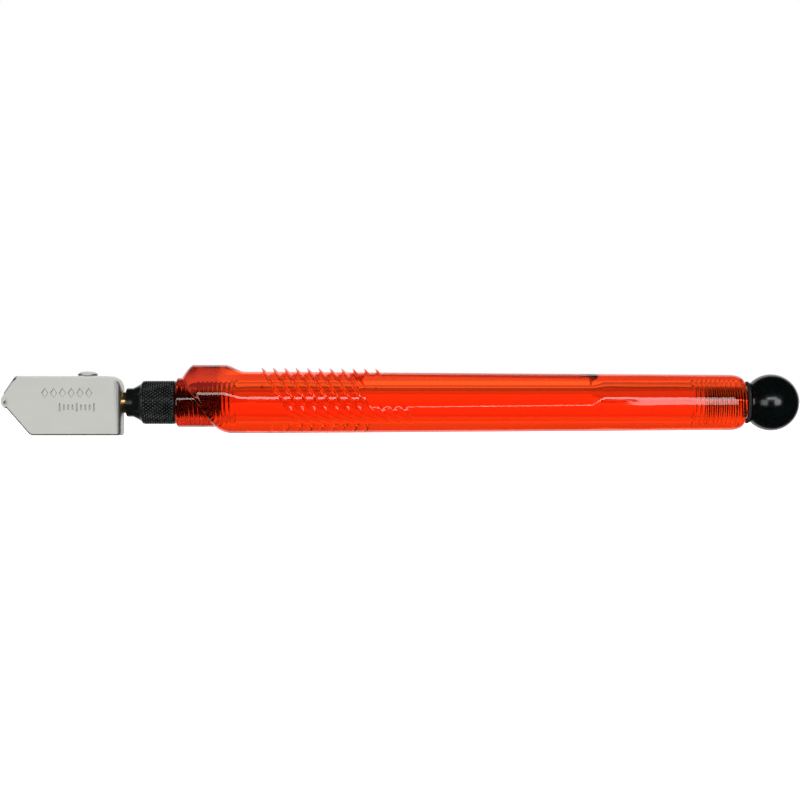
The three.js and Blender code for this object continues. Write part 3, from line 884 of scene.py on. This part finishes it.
def sleeve_profile():
    nose = [(SLEEVE_START, SHANK_BORE), (SLEEVE_START, 2.95)]
    nose += [(SLEEVE_START + 0.08, 3.12), (SLEEVE_START + 0.25, 3.2), (29.5, 3.2), (29.65, 3.24)]
    nose += [(30.5, 3.68), (31.2, 4.08), (31.45, 4.28), (31.7, 4.6), (31.82, 4.75)]
    rings = stations(KNURL_START, KNURL_END - 0.2, KNURL_STEP / KNURL_GRID)
    knurl = [(place, KNURL_RADIUS) for place in rings]
    relief = [(KNURL_END, 4.65), (KNURL_END, 2.65), (TAIL_START - 0.15, 2.65), (TAIL_START, 2.95)]
    tail_rings = stations(TAIL_START + 0.1, SLEEVE_END - 0.45, THREAD_RING)
    tail = [(place, MALE_RADIUS) for place in tail_rings]
    inside = [(SLEEVE_END, 2.95), (SLEEVE_END, TAIL_BORE + 0.2), (SLEEVE_END - 0.2, TAIL_BORE)]
    inside += [(SHANK_END + 0.3, TAIL_BORE), (SHANK_END + 0.3, SHANK_BORE), (SLEEVE_START, SHANK_BORE)]
    return nose + knurl + relief + tail + inside


def sleeve_rule(length, radius, turn):
    knurled = np.abs(radius - KNURL_RADIUS) < 0.02
    around = turn * KNURL_AROUND / (2 * math.pi)
    down = (length - KNURL_START) / KNURL_STEP
    first = np.abs(2 * np.mod(around + down, 1.0) - 1)
    second = np.abs(2 * np.mod(around - down, 1.0) - 1)
    groove = 1 - np.minimum(1 - first, 1 - second) * 1.6
    ends = fade(length, KNURL_START, KNURL_START + 0.3)
    ends = ends * (1 - fade(length, KNURL_END - 0.6, KNURL_END - 0.2))
    pressed = KNURL_DEPTH * np.clip(groove, 0, 1) * ends
    radius = np.where(knurled, radius - pressed - 0.1 * (1 - ends), radius)
    tail = (length > TAIL_START) & (np.abs(radius - MALE_RADIUS) < 0.02)
    threaded = fade(length, TAIL_START, TAIL_START + 0.5)
    threaded = threaded * (1 - 0.3 * fade(length, SLEEVE_END - 1, SLEEVE_END - 0.4))
    radius = np.where(tail, radius - THREAD_DEPTH * male_dip(length, turn) * threaded, radius)
    return length, radius, turn


sleeve = reshape(spun("knurled_sleeve", sleeve_profile(), KNURL_AROUND * KNURL_GRID), sleeve_rule)
smooth(sleeve, 28)
finish_piece(sleeve, black_metal, "sleeve", "black_metal", "front_sleeve")

# %% [markdown]
# ## The ball cap
# One black moulding: threaded spigot, collar and ball. The ball is an arc of the profile with many
# points, because a glossy ball shows every facet in its reflections.

# %% Spin the ball cap
BALL_RADIUS = 6.3
BALL_CENTRE = CAP_END - BALL_RADIUS
CAP_FLANGE = 167.05
CAP_FLANGE_RADIUS = 4.45
CAP_RELIEF = 165.2


def cap_profile():
    neck = math.degrees(math.asin((CAP_FLANGE_RADIUS - 0.1) / BALL_RADIUS))
    spigot = [(CAP_START, 0), (CAP_START, 2.7), (CAP_START + 0.2, 2.95)]
    rings = stations(CAP_START + 0.45, CAP_RELIEF - 0.1, THREAD_RING)
    spigot += [(place, MALE_RADIUS) for place in rings]
    spigot += [(CAP_RELIEF, 2.95), (CAP_RELIEF + 0.1, 2.65), (CAP_FLANGE, 2.65)]
    flange = [(CAP_FLANGE, 4.2), (CAP_FLANGE + 0.06, 4.36), (CAP_FLANGE + 0.2, CAP_FLANGE_RADIUS)]
    flange += [(CAP_FLANGE + 0.55, CAP_FLANGE_RADIUS), (CAP_FLANGE + 0.62, 4.38)]
    ball = arc((BALL_CENTRE, 0), (BALL_RADIUS, BALL_RADIUS), 180 - neck, 0, 44)
    return spigot + flange + ball[:-1] + [(CAP_END, 0)]


def cap_rule(length, radius, turn):
    spigot = (length < CAP_RELIEF) & (np.abs(radius - MALE_RADIUS) < 0.02)
    threaded = fade(length, CAP_START + 0.2, CAP_START + 0.8)
    threaded = threaded * (1 - fade(length, CAP_RELIEF - 0.5, CAP_RELIEF))
    dip = THREAD_DEPTH * male_dip(length, turn) * threaded
    return length, np.where(spigot, radius - dip, radius), turn


cap = reshape(spun("ball_cap_moulding", cap_profile(), 96), cap_rule)
smooth(cap, 30)
finish_piece(cap, black_plastic, "cap", "black_plastic", "ball_cap")

# %% [markdown]
# ## The head
# A pressed and plated block, flat on both sides, with a pointed nose. Its outline is drawn as a chain,
# filled and extruded across. Each corner then gets its own radius by bevelling one upright edge, and
# the rims are rounded last, so that the rounding runs cleanly round every corner.

# %% The head's blank
HEAD_CORNERS = [
    (0.32, 0.75, 1.2),
    (0.45, -1.15, 0.95),
    (1.75, -1.15, 0.35),
    (7.1, HEAD_BOTTOM, 1.6),
    (HEAD_END, HEAD_BOTTOM, 0.75),
    (HEAD_END, HEAD_TOP, 2.9),
    (3.75, HEAD_TOP, 0.9),
]
CORNER_STEPS = 10
NEAR = MM / 100


def corner_reach(index):
    """How far a corner's rounding reaches along its two sides."""
    around = [HEAD_CORNERS[i % len(HEAD_CORNERS)] for i in (index, index - 1, index + 1)]
    here, before, after = (Vector(corner[:2]) for corner in around)
    half = (before - here).angle(after - here) / 2
    return HEAD_CORNERS[index][2] / math.tan(half)


def head_blank():
    outline = [tool_point(length, up, -HEAD_HALF) for length, up, _ in HEAD_CORNERS]
    piece = chain("head", outline)
    bpy.ops.mesh.select_all(action="SELECT")
    bpy.ops.mesh.edge_face_add()
    bpy.ops.mesh.extrude_region_move(TRANSFORM_OT_translate={"value": (0, 2 * HEAD_HALF * MM, 0)})
    for index, (length, up, _) in enumerate(HEAD_CORNERS):
        corner = Vector(tool_point(length, up)) * MM
        bpy.ops.mesh.select_mode(type="EDGE")
        bpy.ops.mesh.select_all(action="DESELECT")
        pick(piece, "edges", lambda part, middle: (middle - corner).length < NEAR)
        bpy.ops.mesh.bevel(offset=corner_reach(index) * MM, segments=CORNER_STEPS, affect="EDGES")
    return leave(piece)


print(f"the upper rear corner's rounding reaches {corner_reach(5):.1f} mm")

# %% Round the head and drill it
SOCKET_START = 14.0
SCREW_ALONG = (node_span("head_lock_screw")[0] + node_span("head_lock_screw")[1]) / 2
WHEEL_CENTRE = (node_span("cutting_wheel")[0] + node_span("cutting_wheel")[1]) / 2
NIB_HALF = 2.0
NIB_SHOULDER = 1.05
REAR_CORNER = 1.3
RIM_ROUNDING = 0.5
SOCKET_RADIUS = 2.5
OIL_WAY_RADIUS = 0.9
AXLE_HOLE_RADIUS = 0.42
SCREW_HOLE_RADIUS = 1.25


def rear_rounding():
    """A plan-view block with rounded rear corners, to intersect with the blank."""
    low = tool_point(-1, HEAD_BOTTOM - 2, -HEAD_HALF)
    high = tool_point(HEAD_END, HEAD_TOP + 2, HEAD_HALF)
    piece = box_between("rear_rounding", low, high)
    edit(piece, "EDGE")
    rear = high[0] * MM

    def upright_rear(part, middle):
        length = (part.verts[0].co - part.verts[1].co).length
        at_corner = abs(middle.x - rear) < NEAR and abs(abs(middle.y) - HEAD_HALF * MM) < NEAR
        return at_corner and length > 5 * MM

    pick(piece, "edges", upright_rear)
    bpy.ops.mesh.bevel(offset=REAR_CORNER * MM, segments=CORNER_STEPS, affect="EDGES")
    return leave(piece)


def drill(piece, centre, radius, depth, turn=(0, 0, 0)):
    return combine(piece, cylinder_at("drill", centre, radius, depth, turn))


def nib_cutter(side):
    """Thins the nose to a nib, with a round shoulder behind the axle."""
    middle = side * (NIB_HALF + 3)
    cutter = cylinder_at("nib_cutter", tool_point(WHEEL_CENTRE, 0, middle), NIB_SHOULDER, 6, ACROSS)
    low = tool_point(-2, -3, middle - 3)
    high = tool_point(WHEEL_CENTRE, 3, middle + 3)
    return combine(cutter, box_between("nib_front", low, high), "UNION")


def make_head():
    piece = combine(head_blank(), rear_rounding(), "INTERSECT")
    round_edges(piece, RIM_ROUNDING, 6, clamp=False)
    for side in (-1, 1):
        combine(piece, nib_cutter(side))
    socket_length = HEAD_END - SOCKET_START
    socket_middle = tool_point(HEAD_END - socket_length / 2 + 1, 0)
    drill(piece, socket_middle, SOCKET_RADIUS, socket_length + 2, ALONG)
    drill(piece, tool_point(8, 0), OIL_WAY_RADIUS, 13, ALONG)
    drill(piece, tool_point(WHEEL_CENTRE, 0), AXLE_HOLE_RADIUS, 12, ACROSS)
    drill(piece, tool_point(SCREW_ALONG, 5), SCREW_HOLE_RADIUS, 10)
    slot = box_between("wheel_slot", tool_point(-1, -2.2, -0.6), tool_point(3, 2.2, 0.6))
    return combine(piece, slot)


head = make_head()
print(f"drilled head: {len(head.data.polygons)} faces")

# %% [markdown]
# The real head carries stamped marks. Here a plain pattern takes their place: a row of diamonds over
# a row of ticks, pressed into both faces. A punch has sloping sides, and those slopes are what makes
# a stamp readable, so each one narrows as it goes in. All are one mesh, so the cut is made once.

# %% Stamp a plain pattern
STAMP_DEPTH = 0.2
STAMP_SLOPE = 0.22
STAMP_START = 0.02


def stamp(middle, size, corners, across):
    """One punch: its outline is corners times size about middle, narrowing towards its tip."""
    out = math.copysign(1, across)
    outline = [(middle[0] + size[0] * c[0], middle[1] + size[1] * c[1]) for c in corners]
    piece = chain("stamp", [tool_point(*place, across + out * STAMP_START) for place in outline])
    bpy.ops.mesh.select_all(action="SELECT")
    bpy.ops.mesh.edge_face_add()
    bpy.ops.mesh.extrude_region_move(TRANSFORM_OT_translate={"value": (0, -out * STAMP_DEPTH * MM, 0)})
    shrink = [max(0.12, (half - STAMP_SLOPE) / half) for half in size]
    centre = Vector(tool_point(*middle, across)) * MM
    bpy.ops.transform.resize(value=(shrink[0], 1, shrink[1]), center_override=centre)
    return leave(piece)


DIAMOND = [(-1, 0), (0, -1), (1, 0), (0, 1)]
TICK = [(-1, -1), (1, -1), (1, 1), (-1, 1)]


def stamps(across):
    """Six diamonds above nine ticks, of which each fourth is long."""
    made = [stamp((10.4 + 1.95 * i, 2.1), (0.8, 1.15), DIAMOND, across) for i in range(6)]
    for i in range(9):
        half_height = 0.95 if i % 4 == 0 else 0.65
        made.append(stamp((13.7 + 0.95 * i, -1.1), (0.2, half_height), TICK, across))
    bpy.ops.object.select_all(action="DESELECT")
    for piece in made:
        piece.select_set(True)
    bpy.context.view_layer.objects.active = made[0]
    bpy.ops.object.join()
    return made[0]


for side in (-1, 1):
    combine(head, stamps(side * HEAD_HALF))
smooth(head, 30)
keep_flats_flat(head)
finish_piece(head, nickel, "head", "nickel_plate", "head_block")

# %% [markdown]
# ## Wheel, axle and lock screw
# The wheel is a small hard disc ground to a vee. It is spun about its own axle, which lies across the
# tool. The screw is a low dome with a driver slot.

# %% Spin round another axis
def spun_about(name, profile, centre, axis, steps=64):
    """A profile of (height along the axis, radius) spun about an axis through a centre in mm."""
    centre, upward, outward = Vector(centre), Vector(axis), Vector((1, 0, 0))
    piece = chain(name, [centre + upward * height + outward * radius for height, radius in profile])
    bpy.ops.mesh.select_all(action="SELECT")
    bpy.ops.mesh.spin(steps=steps, angle=2 * math.pi, center=centre * MM, axis=axis)
    return leave(piece)


def make_wheel():
    half, bore = 0.5, AXLE_HOLE_RADIUS
    wall = [(-half, bore + 0.06), (-half, 0.86), (-half + 0.05, 0.95), (-0.02, 1.295), (0.02, 1.295)]
    wall += [(half - 0.05, 0.95), (half, 0.86), (half, bore + 0.06), (half - 0.06, bore)]
    wall += [(-half + 0.06, bore)]
    return spun_about("wheel", wall + wall[:1], tool_point(WHEEL_CENTRE, 0), (0, 1, 0), 96)


wheel = smooth(make_wheel(), 25)
finish_piece(wheel, carbide, "wheel", "carbide", "cutting_wheel")

# %% The axle and the screw
def make_axle():
    """A pin with a deep dimple in each end, as a riveted pin has."""
    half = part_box("wheel_axle")[1].y / MM
    floor = -half + 0.5
    wall = [(floor, 0), (floor, 0.27), (-half, 0.29), (-half, 0.32), (-half + 0.03, 0.35)]
    wall += [(-height, radius) for height, radius in wall[::-1]]
    return spun_about("axle_pin", wall, tool_point(WHEEL_CENTRE, 0), (0, 1, 0), 32)


SCREW_HEAD_RADIUS = 2.22
SCREW_CORE = 0.92
SCREW_CREST = 1.15
SCREW_PITCH = 0.45


def make_screw():
    """A domed screw. After each cut its doubles are merged, so that no sliver faces stay."""
    seat = HEAD_TOP + 0.1
    top = (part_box("head_lock_screw")[1].z - AXIS_Z) / MM
    tip = (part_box("head_lock_screw")[0].z - AXIS_Z) / MM
    rim = seat + 0.28
    dome = arc((rim, 0), (top - rim, SCREW_HEAD_RADIUS), 90, 0, 14)
    threads = []
    for i in range(int((seat - 0.5 - (tip + 0.5)) / SCREW_PITCH)):
        start = tip + 0.5 + SCREW_PITCH * i
        threads += [(start, SCREW_CORE), (start + 0.17, SCREW_CREST), (start + 0.28, SCREW_CREST)]
    wall = [(tip, 0), (tip, 0.7), (tip + 0.35, SCREW_CORE)] + threads
    wall += [(seat, 0.95), (seat, SCREW_HEAD_RADIUS - 0.08), (seat + 0.08, SCREW_HEAD_RADIUS)]
    piece = spun_about("lock_screw", wall + dome, tool_point(SCREW_ALONG, 0), (0, 0, 1), 64)
    slot = box_between(
        "driver_slot",
        tool_point(SCREW_ALONG - 3, top - 0.55, -0.27),
        tool_point(SCREW_ALONG + 3, top + 1, 0.27),
    )
    combine(piece, slot)
    edit(piece)
    leave(piece)
    round_edges(piece, 0.04, 2, 40)
    edit(piece)
    return leave(piece)


axle = smooth(make_axle())
finish_piece(axle, steel, "head", "steel", "wheel_axle")
screw = smooth(make_screw(), 35)
finish_piece(screw, steel, "lock_screw", "steel", "head_lock_screw")

# %% [markdown]
# ## Shank, seals and wick
# The brass shank joins head and sleeve. Rings of rubber sit in its grooves and keep the oil in, and a
# cotton wick runs through it to feed the wheel. Only a sliver of brass shows, but everything is there
# when the tool is taken apart.

# %% Spin the shank
SHANK_RADIUS = 2.4


def shank_groove(centre, half, radius):
    edge = 0.08
    return [
        (centre - half - edge, SHANK_RADIUS),
        (centre - half, SHANK_RADIUS - edge),
        (centre - half, radius),
        (centre + half, radius),
        (centre + half, SHANK_RADIUS - edge),
        (centre + half + edge, SHANK_RADIUS),
    ]


def seal_middle(node):
    return sum(node_span(node)) / 2


def shank_profile():
    oil_way = 0.95
    start = [(SHANK_START, oil_way), (SHANK_START, 2.1), (SHANK_START + 0.3, SHANK_RADIUS)]
    grooves = shank_groove(SCREW_ALONG, 1.4, 1.9)
    grooves += shank_groove(seal_middle("shank_o_ring_front"), 0.6, 1.55)
    grooves += shank_groove(seal_middle("shank_o_ring_rear"), 0.6, 1.55)
    end = [(SHANK_END - 0.15, SHANK_RADIUS), (SHANK_END, 2.25), (SHANK_END, oil_way)]
    return start + grooves + end + start[:1]


shank = smooth(spun("turned_shank", shank_profile(), 64))
finish_piece(shank, brass, "sleeve", "brass", "brass_shank")

# %% Seals and wick
def make_seal(node, body):
    """A rubber ring of round section with the fine flash line that moulding leaves."""
    low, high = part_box(node)
    wire = (high.x - low.x) / 2 / MM
    middle = along((low.x + high.x) / 2)
    centre = (high.z - AXIS_Z) / MM - wire
    wall = arc((middle, centre), (wire, wire), 0, 360, 20)
    length, top = wall[5]
    flash = [(length + 0.03, top), (length, top + 0.02), (length - 0.03, top)]
    wall = wall[:5] + flash + wall[6:]
    piece = smooth(spun(node + "_moulded", wall, 64), 60)
    return finish_piece(piece, rubber, body, "seal_rubber", node)


SEAL_BODIES = {
    "shank_o_ring_front": "sleeve",
    "shank_o_ring_rear": "sleeve",
    "sleeve_o_ring": "sleeve_travel",
    "cap_o_ring": "cap_travel",
}
for node, body in SEAL_BODIES.items():
    make_seal(node, body)


def wick_rule(length, radius, turn):
    """Four strands twisted together."""
    strand = np.abs(np.cos(2 * (turn - length * 2 * math.pi / 9.0)))
    return length, np.where(radius > 0.5, radius - 0.1 * (1 - strand), radius), turn


WICK_RADIUS = 0.75
WICK_START, WICK_END = node_span("felt_wick")
wick_wall = [(WICK_START, 0), (WICK_START, 0.55)]
wick_wall += [(place, WICK_RADIUS) for place in stations(WICK_START + 0.2, WICK_END - 0.3, 0.5)]
wick_wall += [(WICK_END, 0.5), (WICK_END, 0)]
wick = smooth(reshape(spun("cotton_wick", wick_wall, 24), wick_rule), 50)
finish_piece(wick, felt, "sleeve", "felt", "felt_wick")

# %% [markdown]
# ## Studio
# The tool is shown on plain white. The world and the floor are both bright and white, so the clear
# handle glows from behind. Gloss black would turn grey in a white room, so two hollow balls, open only
# at the back, stand in for a dark one: reflections see the first, light bent by the plastic the second.
# Flags on each object say which kinds of ray meet it, and the camera sees neither ball.

# %% Floor and world
FLOOR_SIZE = 8
FLOOR_GLOW = 0.65


def make_floor():
    bpy.ops.object.select_all(action="DESELECT")
    bpy.ops.mesh.primitive_plane_add(size=FLOOR_SIZE, location=(0, 0, 0))
    piece = bpy.context.object
    piece.name = "floor"
    finish = Finish("pale_floor")
    finish.set(Base_Color=rgb(0.9, 0.9, 0.9), Roughness=0.9, Specular_IOR_Level=0.0)
    finish.set(Emission_Color=rgb(1, 1, 1), Emission_Strength=FLOOR_GLOW)
    piece.data.materials.append(finish.done())
    piece.visible_glossy = False


make_floor()
world = bpy.data.worlds.new("white_world")
bpy.context.scene.world = world
world.use_nodes = True
world.node_tree.nodes["Background"].inputs["Color"].default_value = (1, 1, 1, 1)
world.node_tree.nodes["Background"].inputs["Strength"].default_value = 1.0
bpy.context.scene.view_settings.view_transform = "Standard"
cycles = bpy.context.scene.cycles
cycles.max_bounces = 32
cycles.glossy_bounces = cycles.transmission_bounces = 24
print("floor and world are white, light may bounce", cycles.max_bounces, "times")

# %% Dark rooms in front
ROOM_RADIUS = 2.5


def hollow_room(name, opening, glow, for_gloss):
    """A big hollow ball, open only at the back, for reflected or for refracted rays alone."""
    bpy.ops.object.select_all(action="DESELECT")
    bpy.ops.mesh.primitive_uv_sphere_add(segments=48, ring_count=24, radius=ROOM_RADIUS)
    piece = bpy.context.object
    piece.name = name
    edit(piece)
    bpy.ops.mesh.select_all(action="SELECT")
    bpy.ops.mesh.bisect(plane_co=(0, opening, 0), plane_no=(0, 1, 0), clear_outer=True)
    bpy.ops.object.mode_set(mode="OBJECT")
    finish = Finish(name)
    finish.set(Base_Color=rgb(0.01, 0.01, 0.01), Roughness=1.0, Specular_IOR_Level=0.0)
    finish.set(Emission_Color=rgb(1, 1, 1), Emission_Strength=glow)
    piece.data.materials.append(finish.done())
    piece.visible_camera = False
    piece.visible_diffuse = False
    piece.visible_shadow = False
    piece.visible_glossy = for_gloss
    piece.visible_transmission = not for_gloss


hollow_room("dark_room", 1.75, 0.0, for_gloss=True)
hollow_room("dusky_room", 1.2, 0.36, for_gloss=False)

# %% [markdown]
# ### Lights that reach only some pieces
# Three soft lights in an arch give the long highlight on the handle and the two soft spots on the ball.
# Satin metal needs broad light instead, so the plated pieces have a front and a top panel of their own.
# Light linking keeps the two apart: each light has a collection of the pieces that it may reach.

# %% Soft lights
LIGHT_DISTANCE = 0.8


def panel(name, place, turn, wide, tall, radiance, pieces):
    """A flat soft light of one brightness at any size, that reaches only the pieces given."""
    data = bpy.data.lights.new(name, "AREA")
    data.shape = "RECTANGLE"
    data.size, data.size_y = wide, tall
    data.energy = 4 * radiance * wide * tall
    light = bpy.data.objects.new(name, data)
    light.location = place
    light.rotation_euler = turn
    light.visible_camera = False
    bpy.context.scene.collection.objects.link(light)
    reach = bpy.data.collections.new(name + "_reach")
    for piece in pieces:
        reach.objects.link(piece)
    light.light_linking.receiver_collection = reach


def front_light(name, low, high, radiance, pieces):
    """A light as wide and high as the corners (x, height above the axis) say, facing the tool."""
    place = ((low[0] + high[0]) / 2, -LIGHT_DISTANCE, AXIS_Z + (low[1] + high[1]) / 2)
    panel(name, place, (math.pi / 2, 0, 0), high[0] - low[0], high[1] - low[1], radiance, pieces)


METALS = [head, wheel, axle, screw]
OTHERS = [piece for piece in bpy.data.objects if piece.type == "MESH" and piece not in METALS]
front_light("strip_light", (-0.3, 0.18), (0.3, 0.3), 5.0, OTHERS)
front_light("left_light", (-0.85, -0.17), (-0.25, 0.17), 2.6, OTHERS)
front_light("right_light", (0.16, -0.13), (0.54, 0.2), 4.0, OTHERS)
front_light("metal_front_light", (-1.7, -0.9), (0.9, 0.9), 0.76, METALS)
panel("metal_top_light", (0, 0, AXIS_Z + 1), (0, 0, 0), 2.4, 2.0, 0.75, METALS)
print("lights:", sorted(light.name for light in bpy.data.lights))
